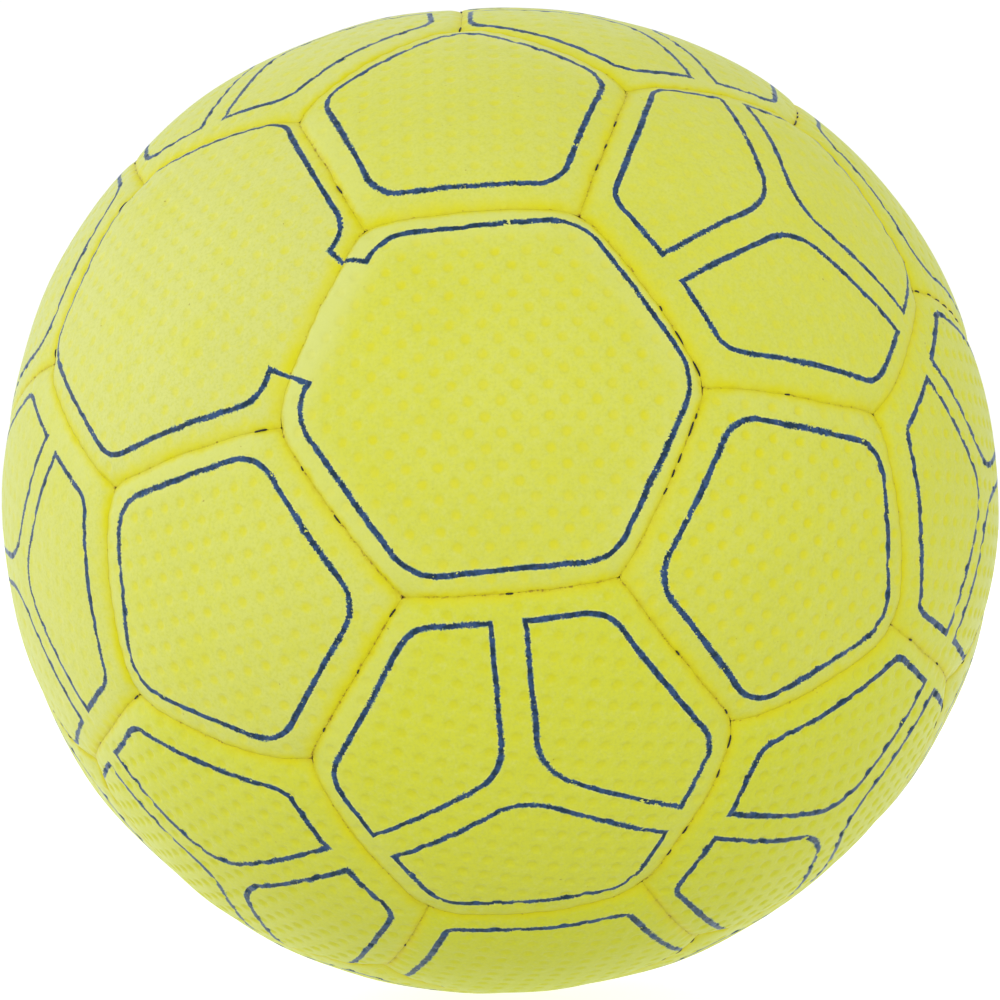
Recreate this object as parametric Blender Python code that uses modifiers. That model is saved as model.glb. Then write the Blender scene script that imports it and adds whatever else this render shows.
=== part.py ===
"""Handball, size 3: thirty-two stitched panels round an air bladder.

The ball's centre is the origin, +Z is up and the printed front looks along -Y.
All lengths are in metres.
"""
import math

import bmesh
import bpy
from mathutils import Euler, Matrix, Vector

# ---------------------------------------------------------------- dimensions
NAME = "handball"
BALL_RADIUS = 0.0940          # crown of the panels: 590 mm round
ORIENTATION_DEG = (-19.4, -11.7, -16.8)   # how the ball lies, seen from the front

PANEL_THICKNESS = 0.0034      # cover, foam and lining cloth, glued together
SHOULDER_WIDTH = 0.0044       # rounded edge of a panel, across the seam
SHOULDER_DROP = 0.0024
SEAM_HALF_WIDTH = 0.00085     # half the groove that the thread lies in
SEAM_FLOOR = 0.0031           # depth of that groove's floor
ALLOWANCE_DEPTH = 0.0056      # lower edge of the turned-in seam allowance
ALLOWANCE_THICKNESS = 0.0018
CLEARANCE = 0.0003            # between touching pieces

THREAD_WIDTH = 0.0007
THREAD_DEPTH = 0.0023         # thread centre below the crown

BLADDER_RADIUS = 0.0875
BLADDER_WALL = 0.0008

VALVE_HOLE_RADIUS = 0.0047    # hole through the panel
STEM_RADIUS = 0.0044          # rubber boot of the valve
VALVE_RECESS = 0.0007         # valve face below the crown
BORE_RADIUS = 0.0024
HEAD_SEAT_RADIUS = 0.0034
HEAD_RADIUS = 0.0031
HEAD_THICKNESS = 0.0012
PLUG_RADIUS = 0.0021
NEEDLE_RADIUS = 0.0008
NEEDLE_DEPTH = 0.009
BOOT_FLANGE_RADIUS = 0.014
BOOT_FLANGE_OUT = 0.0889      # upper and lower faces of the boot's flange
BOOT_FLANGE_IN = 0.0880
BOOT_END = 0.0790             # inner end of the boot
NECK_HOLE_RADIUS = 0.0049     # hole through the bladder
PATCH_RADIUS = 0.022
PATCH_OUT = 0.0899
PATCH_IN = 0.0892

# ---------------------------------------------------------------- clean start
for old in list(bpy.data.objects):
    bpy.data.objects.remove(old, do_unlink=True)

parts = bpy.data.collections.new(NAME)
cutters = bpy.data.collections.new("cutters")
for collection in (parts, cutters):
    bpy.context.scene.collection.children.link(collection)


def material(name, colour, roughness, metallic=0.0):
    mat = bpy.data.materials.new(name)
    mat.use_nodes = True
    shader = mat.node_tree.nodes["Principled BSDF"]
    shader.inputs["Base Color"].default_value = (*colour, 1.0)
    shader.inputs["Roughness"].default_value = roughness
    shader.inputs["Metallic"].default_value = metallic
    mat.diffuse_color = (*colour, 1.0)
    return mat


COVER = material("cover", (0.68, 0.73, 0.09), 0.55)
THREAD = material("thread", (0.012, 0.012, 0.014), 0.70)
LATEX = material("latex", (0.055, 0.050, 0.048), 0.60)
BOOT = material("boot", (0.030, 0.030, 0.032), 0.55)
PLUG = material("plug", (0.62, 0.60, 0.54), 0.50)
CLOTH = material("cloth", (0.74, 0.72, 0.66), 0.90)


def add_object(name, mesh, mat, collection=parts):
    mesh.materials.clear()
    if mat:
        mesh.materials.append(mat)
    obj = bpy.data.objects.new(name, mesh)
    collection.objects.link(obj)
    return obj


def smooth(mesh, degrees=35.0):
    mesh.shade_smooth()
    mesh.set_sharp_from_angle(angle=math.radians(degrees))


# ------------------------------------------------- layout of the panels
# A truncated icosahedron: the twelve corners of an icosahedron become
# pentagons, its twenty faces become hexagons, and every edge is cut in three.
turn = Euler([math.radians(a) for a in ORIENTATION_DEG], "XYZ").to_matrix()


def panel_layout():
    """Return (centre, corners, is_hexagon) for each panel, as unit directions."""
    bm = bmesh.new()
    bmesh.ops.create_icosphere(bm, subdivisions=1, radius=1.0)
    panels = []
    for vert in bm.verts:
        corners = []
        for edge in vert.link_edges:
            other = edge.other_vert(vert)
            corners.append((vert.co * 2.0 + other.co) / 3.0)
        panels.append((vert.co.copy(), corners, False))
    for face in bm.faces:
        corners = []
        for edge in face.edges:
            a, b = edge.verts
            corners.append((a.co * 2.0 + b.co) / 3.0)
            corners.append((a.co + b.co * 2.0) / 3.0)
        panels.append((face.calc_center_median(), corners, True))
    bm.free()

    layout = []
    for centre, corners, is_hexagon in panels:
        centre = (turn @ centre).normalized()
        corners = [(turn @ c).normalized() for c in corners]
        side = corners[0].cross(centre).normalized()
        up = centre.cross(side)
        corners.sort(key=lambda c: math.atan2(c.dot(up), c.dot(side)))
        layout.append((centre, corners, is_hexagon))
    # from the front of the ball to the back
    layout.sort(key=lambda item: (round(item[0].y, 3), round(-item[0].z, 3)))
    return layout


LAYOUT = panel_layout()


class Panel:
    """One panel's outline, seen from the ball's centre."""

    def __init__(self, centre, corners):
        self.centre = centre
        outline = [c / c.dot(centre) - centre for c in corners]
        self.stations = []
        for here, after in zip(outline, outline[1:] + outline[:1]):
            self.stations += [here, (here + after) / 2.0]
        self.apothem = math.atan(((outline[0] + outline[1]) / 2.0).length)

    def share(self, inset, radius):
        """Share of the outline that leaves `inset` to the seam, at `radius`."""
        return math.tan(self.apothem - math.asin(inset / radius)) / math.tan(self.apothem)

    def point(self, station, share, radius):
        return (self.centre + self.stations[station] * share).normalized() * radius


def panel_profile(panel, crown_shares):
    """Rings from the middle of the outside, over the edge, to the middle inside."""
    rings = [(share, BALL_RADIUS) for share in crown_shares]
    for step in range(3, -1, -1):
        angle = math.radians(30.0 * step)
        # a quarter ellipse: level at the crown, upright at the groove
        inset = SEAM_HALF_WIDTH + SHOULDER_WIDTH * (1.0 - math.cos(angle))
        radius = BALL_RADIUS - SHOULDER_DROP * (1.0 - math.sin(angle))
        rings.append((panel.share(inset, radius), radius))
    inner = BALL_RADIUS - PANEL_THICKNESS
    floor = BALL_RADIUS - SEAM_FLOOR
    lower = BALL_RADIUS - ALLOWANCE_DEPTH
    back = CLEARANCE / 2 + ALLOWANCE_THICKNESS
    for inset, radius in (
        (SEAM_HALF_WIDTH, floor),
        (CLEARANCE / 2, floor),
        (CLEARANCE / 2, lower),
        (back, lower),
        (back, inner - 0.0008),
        (back + 0.0009, inner),
    ):
        rings.append((panel.share(inset, radius), radius))
    rings += [(share, inner) for share in reversed(crown_shares)]
    return rings


def close_with_fan(bm, face, tip):
    """Split the middle face into a fan round a point on the sphere."""
    middle = bmesh.ops.poke(bm, faces=[face])["verts"][0]
    middle.co = tip


def make_panel(name, centre, corners, crown_shares=(0.55,)):
    panel = Panel(centre, corners)
    rings = panel_profile(panel, crown_shares)
    count = len(panel.stations)

    bm = bmesh.new()
    station = bm.verts.layers.int.new("station")
    verts = bmesh.ops.create_circle(bm, cap_ends=True, segments=count, radius=1.0)["verts"]
    verts.sort(key=lambda v: math.atan2(v.co.y, v.co.x))
    for number, vert in enumerate(verts):
        vert[station] = number
        vert.co = panel.point(number, *rings[0])
    outer_face = bm.faces[:][0]
    edges = list(outer_face.edges)
    for ring in rings[1:]:
        grown = bmesh.ops.extrude_edge_only(bm, edges=edges)["geom"]
        for vert in (g for g in grown if isinstance(g, bmesh.types.BMVert)):
            vert.co = panel.point(vert[station], *ring)
        edges = [g for g in grown if isinstance(g, bmesh.types.BMEdge)]
    inner_face = bmesh.ops.contextual_create(bm, geom=edges)["faces"][0]
    close_with_fan(bm, outer_face, centre * BALL_RADIUS)
    close_with_fan(bm, inner_face, centre * (BALL_RADIUS - PANEL_THICKNESS))
    bmesh.ops.recalc_face_normals(bm, faces=bm.faces)

    mesh = bpy.data.meshes.new(name)
    bm.to_mesh(mesh)
    bm.free()
    smooth(mesh, 50.0)
    return add_object(name, mesh, COVER)


# the valve sits in the hexagon opposite the front one
hexagons = [item for item in LAYOUT if item[2]]
pentagons = [item for item in LAYOUT if not item[2]]
front_centre = hexagons[0][0]
valve_item = min(hexagons, key=lambda item: item[0].dot(front_centre))
hexagons.remove(valve_item)

for number, (centre, corners, _) in enumerate(pentagons, start=1):
    make_panel(f"pentagon_panel_{number:02d}", centre, corners)
for number, (centre, corners, _) in enumerate(hexagons, start=1):
    make_panel(f"hexagon_panel_{number:02d}", centre, corners)
valve_panel = make_panel("valve_panel", valve_item[0], valve_item[1], (0.14, 0.34, 0.62))

# ------------------------------------------------- the valve's own axes
valve_axis = valve_item[0]
valve_frame = valve_axis.to_track_quat("Z", "Y").to_matrix().to_4x4()


def cylinder_cutter(name, radius, low, high):
    bm = bmesh.new()
    bmesh.ops.create_cone(
        bm, cap_ends=True, segments=32, radius1=radius, radius2=radius, depth=high - low
    )
    mesh = bpy.data.meshes.new(name)
    bm.to_mesh(mesh)
    bm.free()
    cutter = add_object(name, mesh, None, cutters)
    cutter.matrix_world = valve_frame @ Matrix.Translation((0, 0, (low + high) / 2))
    cutter.hide_render = True
    cutter.display_type = "WIRE"
    return cutter


def cut(obj, cutter):
    mod = obj.modifiers.new("hole", "BOOLEAN")
    mod.operation = "DIFFERENCE"
    mod.solver = "EXACT"
    mod.object = cutter


cut(valve_panel, cylinder_cutter("valve_panel_hole", VALVE_HOLE_RADIUS, 0.085, 0.099))

# ------------------------------------------------- seam thread
# A net along every seam, in the groove between the panels.


def make_thread(name, radius):
    bm = bmesh.new()
    for centre, corners, _ in LAYOUT:
        panel = Panel(centre, corners)
        ring = [
            bm.verts.new(panel.point(number, 1.0, radius))
            for number in range(len(panel.stations))
        ]
        bmesh.ops.contextual_create(bm, geom=ring)
    bmesh.ops.remove_doubles(bm, verts=bm.verts, dist=0.00005)
    bmesh.ops.recalc_face_normals(bm, faces=bm.faces)
    # each outline is inset, and only the narrow strips along the seams are kept
    middles = list(bm.faces)
    bmesh.ops.inset_individual(
        bm, faces=middles, thickness=THREAD_WIDTH / 2, use_even_offset=True
    )
    bmesh.ops.delete(bm, geom=middles, context="FACES")
    mesh = bpy.data.meshes.new(name)
    bm.to_mesh(mesh)
    bm.free()
    obj = add_object(name, mesh, THREAD)
    thickness = obj.modifiers.new("thickness", "SOLIDIFY")
    thickness.thickness = THREAD_WIDTH
    thickness.offset = 0.0
    return obj


make_thread("seam_thread", BALL_RADIUS - THREAD_DEPTH)

# ------------------------------------------------- bladder
bm = bmesh.new()
bmesh.ops.create_icosphere(bm, subdivisions=3, radius=BLADDER_RADIUS)
mesh = bpy.data.meshes.new("bladder")
bm.to_mesh(mesh)
bm.free()
mesh.shade_smooth()
bladder = add_object("bladder", mesh, LATEX)
wall = bladder.modifiers.new("wall", "SOLIDIFY")
wall.thickness = BLADDER_WALL
wall.offset = -1.0
cut(bladder, cylinder_cutter("bladder_neck_hole", NECK_HOLE_RADIUS, 0.083, 0.092))


# ------------------------------------------------- turned pieces of the valve
def arc(radius, start, end, steps):
    """Points on a sphere round the ball's centre, from one offset to another."""
    points = []
    for step in range(steps + 1):
        offset = start + (end - start) * step / steps
        points.append((offset, math.sqrt(radius**2 - offset**2)))
    return points


def turned(name, profile, mat, closed, steps=32):
    """Turn a profile of (offset from the axis, height) round the valve's axis."""
    bm = bmesh.new()
    verts = [bm.verts.new((x, 0.0, z)) for x, z in profile]
    for a, b in zip(verts, verts[1:]):
        bm.edges.new((a, b))
    if closed:
        bm.edges.new((verts[-1], verts[0]))
    mesh = bpy.data.meshes.new(name)
    bm.to_mesh(mesh)
    bm.free()
    obj = add_object(name, mesh, mat)
    obj.matrix_world = valve_frame
    screw = obj.modifiers.new("turn", "SCREW")
    screw.axis = "Z"
    screw.steps = steps
    screw.render_steps = steps
    screw.use_merge_vertices = True
    screw.merge_threshold = 0.00001
    screw.use_smooth_shade = True
    return obj


face_height = BALL_RADIUS - VALVE_RECESS
seat_height = face_height - HEAD_THICKNESS - CLEARANCE

boot_profile = [
    (HEAD_SEAT_RADIUS, face_height),
    (STEM_RADIUS, face_height),
    *arc(BOOT_FLANGE_OUT, STEM_RADIUS, BOOT_FLANGE_RADIUS, 3),
    *reversed(arc(BOOT_FLANGE_IN, STEM_RADIUS, BOOT_FLANGE_RADIUS, 3)),
    (STEM_RADIUS - 0.0004, BOOT_END + 0.0008),
    (STEM_RADIUS - 0.0012, BOOT_END),
    (BORE_RADIUS, BOOT_END),
    (BORE_RADIUS, seat_height),
    (HEAD_SEAT_RADIUS, seat_height),
]
turned("valve_boot", boot_profile, BOOT, closed=True)

plug_profile = [
    (0.0, face_height - NEEDLE_DEPTH),
    (NEEDLE_RADIUS, face_height - NEEDLE_DEPTH + 0.0008),
    (NEEDLE_RADIUS, face_height - 0.0006),
    (NEEDLE_RADIUS + 0.0004, face_height),
    (HEAD_RADIUS, face_height),
    (HEAD_RADIUS, face_height - HEAD_THICKNESS),
    (PLUG_RADIUS, face_height - HEAD_THICKNESS),
    (PLUG_RADIUS, BOOT_END - CLEARANCE),
    (HEAD_RADIUS, BOOT_END - CLEARANCE),
    (HEAD_RADIUS, BOOT_END - 0.0012),
    (PLUG_RADIUS, BOOT_END - 0.0034),
    (0.0, BOOT_END - 0.0034),
]
turned("valve_plug", plug_profile, PLUG, closed=False)

patch_profile = [
    *arc(PATCH_OUT, VALVE_HOLE_RADIUS, PATCH_RADIUS, 5),
    *reversed(arc(PATCH_IN, VALVE_HOLE_RADIUS, PATCH_RADIUS, 5)),
]
turned("valve_patch", patch_profile, CLOTH, closed=True)

bpy.context.view_layer.update()
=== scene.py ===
"""Size 3 handball: a hand-stitched cover of twelve pentagons and twenty
hexagons in dimpled yellow grip leather, with dark blue printed outlines,
black seam thread and a rubber valve, on a white studio floor."""

import math

import bmesh
import bpy
import numpy as np
from mathutils import Euler, Matrix, Vector
from mathutils.geometry import delaunay_2d_cdt


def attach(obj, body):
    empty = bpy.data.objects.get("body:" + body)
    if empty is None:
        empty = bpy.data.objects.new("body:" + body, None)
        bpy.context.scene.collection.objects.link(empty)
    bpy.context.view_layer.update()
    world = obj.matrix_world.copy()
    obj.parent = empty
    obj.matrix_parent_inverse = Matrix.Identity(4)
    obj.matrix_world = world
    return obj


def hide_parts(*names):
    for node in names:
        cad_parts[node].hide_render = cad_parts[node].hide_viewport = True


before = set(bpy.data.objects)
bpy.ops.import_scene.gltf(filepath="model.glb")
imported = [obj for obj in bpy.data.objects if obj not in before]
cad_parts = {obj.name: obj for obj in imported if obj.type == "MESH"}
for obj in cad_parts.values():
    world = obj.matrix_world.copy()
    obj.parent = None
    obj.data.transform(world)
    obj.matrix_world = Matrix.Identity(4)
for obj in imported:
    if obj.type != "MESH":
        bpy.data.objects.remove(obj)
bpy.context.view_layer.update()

MM = 0.001

# ---------------------------------------------------------------- the ball, mm
BALL = 94.0  # radius of the printed surface
ORIENTATION_DEG = (-19.4, -11.7, -16.8)

CROWN = 0.30  # how far a panel's middle stands out
PILLOW_DROP = 0.28  # slow fall towards the seam
PILLOW_REACH = 4.8
SHOULDER_DROP = 0.38  # quicker fall beside the seam
SHOULDER_REACH = 3.1
SHOULDER_LEAN = 0.45  # how much tighter the upper of two panels turns in
LIP_DROP = 0.06  # the rounded lip where two panels meet
LIP_REACH = 0.45
PIT_DEPTH = 0.80  # where three seams meet the cover is drawn in
PIT_REACH = 3.5
BEND_REACH = 2.3  # length over which a seam bends round a rounded corner
SEAM_GAP = 0.008  # from a panel's edge to the middle of the seam
CORNER_SOFTNESS = 0.15
SHOULDER_SOFTNESS = 0.85

PANEL_BACK = 90.6  # inner face of the cover
ALLOWANCE_FOOT = 88.45  # lowest point of the turned-in edge

DIMPLE_PITCH = 3.93
DIMPLE_REACH = 1.32
DIMPLE_DEPTH = 0.29
DIMPLE_RINGS = ((0.48, 6), (0.76, 10), (1.03, 12), (1.31, 14))
FILL_STEPS = 5  # points between two dimples

STITCHES = 10  # along one seam
THREAD_RADIUS = 0.165
THREAD_DEPTH = -1.35  # where the strand lies between its stitches

VALVE_HOLE = 4.60

# A hand-stitched cover is never quite regular: millimetres to the right and up
# (seen from outside) by which a junction of seams sits off the regular layout,
# for junctions counted from the front of the ball.
JUNCTION_DRIFT = {
    0: (0.37, 0.07), 1: (0.31, 0.12), 2: (0.92, -0.63), 3: (-0.90, -0.61),
    4: (-0.74, 0.44), 5: (-0.51, -0.51), 6: (0.31, 0.96), 7: (-1.21, 0.66),
    8: (-0.39, -0.02), 9: (-0.86, 0.51), 10: (0.45, -0.23), 11: (-1.14, -1.16),
    12: (-0.04, 0.71), 13: (-0.30, -0.22), 14: (1.46, -1.30), 15: (-1.70, -1.59),
    16: (1.07, 0.26), 17: (-2.40, -1.00), 18: (0.31, -0.26), 19: (1.60, -0.30),
    20: (-0.47, 0.42), 21: (2.38, 0.68), 22: (-0.20, -2.85), 23: (-2.70, 0.82),
    24: (-2.19, 0.72),
}

# Pair of junctions: millimetres by which the seam between them bows out, and
# by which its first half lies further out than its second.
SEAM_BOWS = {
    (0, 1): (-0.57, 0.05), (0, 2): (0.62, -0.10), (0, 6): (-0.32, 0.11),
    (1, 3): (-0.58, -0.04), (1, 7): (-0.26, -0.16), (2, 4): (1.10, 0.35),
    (2, 8): (-0.78, -0.14), (3, 5): (-0.86, -0.12), (3, 9): (0.23, 0.20),
    (4, 5): (1.07, -0.12), (4, 14): (0.20, -0.01), (5, 15): (-0.23, 0.16),
    (6, 10): (1.30, 0.41), (6, 11): (-0.82, -0.22), (7, 12): (1.04, 0.52),
    (7, 13): (-1.68, 0.03), (8, 10): (-1.92, 0.04), (8, 16): (0.86, -0.17),
    (9, 13): (1.38, -0.50), (9, 17): (-0.90, -0.07), (10, 21): (-0.32, 0.06),
    (11, 12): (-1.85, 0.02), (11, 22): (0.31, -0.19), (12, 23): (-0.38, 0.15),
    (13, 24): (-0.08, -0.10), (14, 18): (1.1, 0.0), (14, 19): (-1.0, 0.0),
    (15, 18): (-1.0, 0.0), (15, 20): (1.0, 0.0), (16, 19): (0.8, 0.0),
    (17, 20): (-0.8, 0.0),
}

# Junction: the panel that lies uppermost there, its corner rounded, and how
# sharply the seams bend round it.
UPPER_CORNERS = {
    0: (1, 0.06), 1: (1, 0.06), 2: (0, 0.42), 3: (0, 0.44), 4: (0, 0.34), 5: (0, 0.38),
    6: (1, 0.38), 7: (1, 0.42), 8: (2, 0.26), 9: (3, 0.30), 10: (7, 0.16), 11: (1, 0.32),
    12: (1, 0.40), 13: (3, 0.36), 14: (6, 0.40), 15: (6, 0.40), 16: (4, 0.35), 17: (5, 0.35),
}

# Pair of junctions: which side of the seam is uppermost, +1 on its left when
# followed outwards from the lower number, -1 on its right.
SEAM_LEANS = {
    (0, 1): 0.10, (0, 2): -0.55, (0, 6): 0.40, (1, 3): 0.35, (1, 7): -0.05, (2, 4): -1.00,
    (2, 8): 0.55, (3, 5): 0.50, (3, 9): -0.20, (4, 5): -0.60, (4, 14): -0.55, (5, 15): -0.25,
    (6, 10): -0.05, (6, 11): 0.30, (7, 12): -0.20, (7, 13): 0.05, (8, 10): 0.35,
    (8, 16): 0.30, (9, 13): 0.05, (9, 17): 0.0, (10, 21): 0.55, (11, 12): 0.0,
    (11, 22): 0.0, (12, 23): 0.0, (13, 24): -0.15, (14, 18): 0.30, (14, 19): 0.10,
    (15, 18): 0.40, (15, 20): 0.40, (16, 19): 0.0, (17, 20): 0.0,
}

# Direction in the plane across the view, in degrees from the right, and
# millimetres by which the ball stands out or is pressed in there.
SOFT_SPOTS = (
    (0, 0.25), (20, -0.44), (40, 0.12), (60, -0.58), (80, -0.93), (100, -0.57),
    (120, -0.36), (140, 0.85), (160, -0.42), (180, 0.09), (200, 0.11), (220, -0.16),
    (240, 0.30), (260, -0.34), (280, -0.07), (300, -0.80), (320, 0.21), (340, -0.34),
)
SOFT_SPOT_WIDTH = 22.0

# Pair of junctions: stitches that lie on top, as (place along the seam, length).
STITCHES_SHOWN = {
    (0, 1): ((0.49, 0.9),), (0, 2): ((0.474, 1.4), (0.77, 0.6)),
    (0, 6): ((0.09, 1.2), (0.43, 0.5), (0.80, 0.5)),
    (1, 3): ((0.457, 0.9), (0.55, 1.0), (0.63, 1.3), (0.78, 2.1), (0.85, 0.7)),
    (1, 7): ((0.48, 0.7), (0.93, 0.8)), (2, 8): ((0.10, 1.8),),
    (3, 5): ((0.09, 2.3), (0.25, 2.1), (0.41, 0.6)), (3, 9): ((0.44, 0.8),),
    (4, 14): ((0.30, 1.8),), (5, 15): ((0.315, 1.1), (0.47, 0.9), (0.65, 1.2)),
    (7, 12): ((0.10, 2.0), (0.27, 1.3), (0.61, 1.3), (0.76, 1.1)), (10, 21): ((0.03, 1.4),),
    (6, 11): (), (7, 13): (), (8, 10): (), (8, 16): (), (9, 13): (), (9, 17): (), (4, 5): (),
    (6, 10): (), (2, 4): (), (11, 12): (), (11, 22): ((0.46, 0.6),), (12, 23): (),
    (13, 24): ((0.2, 0.6), (0.62, 0.6)), (14, 18): (), (14, 19): (), (15, 18): (), (15, 20): (),
}

# Pair of junctions: how far dirt has drawn the seam as a line, from 0 to 1.
SEAM_LINES = {
    (0, 1): 0.60, (0, 2): 0.60, (0, 6): 0.65, (1, 3): 0.45, (1, 7): 0.60, (2, 4): 0.15,
    (2, 8): 0.15, (3, 5): 0.45, (3, 9): 0.25, (4, 5): 0.15, (4, 14): 0.45, (5, 15): 0.60,
    (6, 10): 0.30, (6, 11): 0.30, (7, 12): 0.45, (7, 13): 0.10, (8, 10): 0.05,
    (8, 16): 0.10, (9, 13): 0.15, (9, 17): 0.15, (10, 21): 0.40, (11, 12): 0.00,
    (11, 22): 0.50, (12, 23): 0.45, (13, 24): 0.40, (14, 18): 0.00, (14, 19): 0.00,
    (15, 18): 0.10, (15, 20): 0.15, (16, 19): 0.00, (17, 20): 0.20,
}

# Panel number: how clearly its dimples are coloured.
DIMPLE_TONES = {
    0: 0.78, 1: 0.80, 2: 0.69, 3: 0.91, 4: 0.52, 5: 0.44, 6: 0.56, 7: 0.86, 8: 0.92,
    9: 0.60, 10: 0.30, 11: 0.78, 12: 0.48, 13: 0.42, 14: 0.50, 15: 0.50,
}

# Panel number: how much paler (+) or deeper (-) it is than the others: painted sheen, paler high on the ball where the
# light whitens the leather, deeper low on it where the sheen is missing.
PANEL_DYE_AND_SHEEN = {
    0: 0.01, 1: -0.62, 2: 0.30, 3: 0.0, 4: 0.66, 5: 0.0, 6: 0.20, 7: -0.46, 8: -0.82,
    9: -1.0, 10: 0.44, 11: -0.24, 12: 0.52, 13: 0.14, 14: 0.80, 15: -0.15,
}

# Panel number: angle of the dimple rows in degrees and one dimple's place.
DIMPLE_ROWS = {
    0: (47.30, -1.24, 1.30), 1: (81.30, 0.83, -0.93), 2: (13.70, 0.02, -0.83),
    3: (39.30, 0.22, 2.20), 4: (60.15, 2.05, 0.16), 5: (5.70, 0.77, 0.15),
    6: (5.70, 1.65, -0.61), 7: (18.55, -1.49, -0.99), 8: (20.00, -1.35, -0.20),
    9: (74.55, 2.00, 1.17), 10: (70.45, 0.27, 0.36), 11: (86.15, 1.78, 0.19),
}

# Panel number: the printed outline's offset, turn in degrees, distance from its
# middle to a side, and corner radius.
OUTLINES = {
    0: (0.71, 0.79, 0.21, 31.24, 9.13), 1: (-0.49, -1.40, 0.16, 30.19, 7.51),
    2: (-2.08, 0.00, -1.06, 22.65, 7.73), 3: (1.25, -1.17, -0.87, 22.50, 7.73),
    4: (-0.83, 1.41, -0.55, 30.81, 7.12), 5: (1.58, 1.81, -0.85, 30.01, 5.89),
    6: (-0.14, 1.47, -1.61, 22.34, 7.07), 7: (-2.86, -0.74, -0.21, 29.48, 5.09),
    8: (2.54, -1.13, -0.25, 29.88, 4.22), 9: (0.16, 2.57, 0.37, 22.87, 3.20),
    10: (-2.60, -0.34, 1.09, 29.43, 4.40), 11: (1.43, -0.19, 1.48, 29.24, 4.20),
    12: (-1.12, 0.02, 0.0, 29.80, 5.50),
}
BAND_HALF = 3.0
BAND_HALVES = {1: 3.06, 5: 3.02, 7: 2.96, 8: 2.93, 10: 2.78, 11: 2.60}
BAND_CORNER = 11.0
BAND_CORNERS = {1: 10.87, 5: 10.51, 7: 11.68, 8: 12.23}
INK_WIDTHS = {0: 1.02, 3: 1.08, 7: 1.08, 8: 1.12, 9: 1.14, 11: 1.14}
PLAIN_PAIRS = ((0, 4), (31, 27))  # hexagons whose outlines run into each other
# where the two open outlines of a pair meet the seam, in the panel's plane
BRIDGES = {
    0: (((-22.8, 25.4), (-25.0, 25.9)), ((-32.6, 3.1), (-35.3, 4.3))),
    4: (((31.9, 7.2), (34.1, 6.0)), ((27.1, -16.3), (30.0, -17.0))),
}
BRIDGE_HALF = 12.1


def unit(v):
    return v / np.linalg.norm(v, axis=-1, keepdims=True)


def smooth_step(x):
    x = np.clip(x, 0.0, 1.0)
    return x * x * (3.0 - 2.0 * x)


def axes_at(centre):
    """Right and up on the ball, seen from outside."""
    up = np.array((0.0, 0.0, 1.0)) if abs(centre[2]) <= 0.9 else np.array((0.0, 1.0, 0.0))
    v = unit(up - centre * (up @ centre))
    return np.cross(v, centre), v


# ---------------------------------------------------------------- seam layout
class Seam:
    """The line between two panels, which wanders a little as sewn seams do."""

    def __init__(self, start, end, number):
        self.start, self.end = start, end
        self.normal = unit(np.cross(start, end))
        self.along = np.cross(self.normal, start)
        self.angle = math.acos(float(np.clip(start @ end, -1, 1)))
        rng = np.random.default_rng(4100 + 64 * number[0] + number[1])
        self.number = number
        self.bow, self.skew = SEAM_BOWS.get(number, (rng.normal(0.0, 0.45), rng.normal(0.0, 0.12)))
        self.lean = SEAM_LEANS.get(number, rng.uniform(-0.5, 0.5))
        self.bends = [0.0, 0.0]  # slope at either end, away from a rounded corner
        self.waves = [
            (turns, rng.normal(0.0, size), rng.uniform(0, 2 * math.pi))
            for turns, size in ((1.5, 0.07), (2.6, 0.06), (4.3, 0.04), (7.1, 0.03))
        ]
        self.scallop = rng.choice((-1.0, 1.0)) * rng.uniform(0.02, 0.07)
        self.phase = rng.uniform(-0.2, 0.2)
        self.line = SEAM_LINES.get(number, rng.uniform(0.0, 0.6))

    def drift(self, t):
        """Millimetres off the straight line, towards the seam's normal."""
        fade = np.sin(math.pi * np.clip(t, 0, 1))
        total = self.bow * fade**0.7 + self.skew * np.sin(2 * math.pi * np.clip(t, 0, 1))
        length = BALL * self.angle
        for bend, along in zip(self.bends, (t * length, (1.0 - t) * length)):
            total = total + bend * along * np.exp(-np.maximum(along, 0.0) / BEND_REACH)
        for turns, size, shift in self.waves:
            total = total + size * np.sin(2 * math.pi * turns * t + shift) * fade
        bumps = np.abs(np.sin(math.pi * (STITCHES * t + self.phase))) - 0.6
        return total + self.scallop * bumps * fade

    def point(self, t, radius, side=0.0):
        """A point on the seam, `side` mm towards its normal."""
        angle = t * self.angle
        line = np.outer(np.cos(angle), self.start) + np.outer(np.sin(angle), self.along)
        off = (self.drift(t) + side) / BALL
        line = line * np.cos(off)[:, None] + self.normal * np.sin(off)[:, None]
        return line * np.broadcast_to(radius, t.shape)[:, None]


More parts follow.
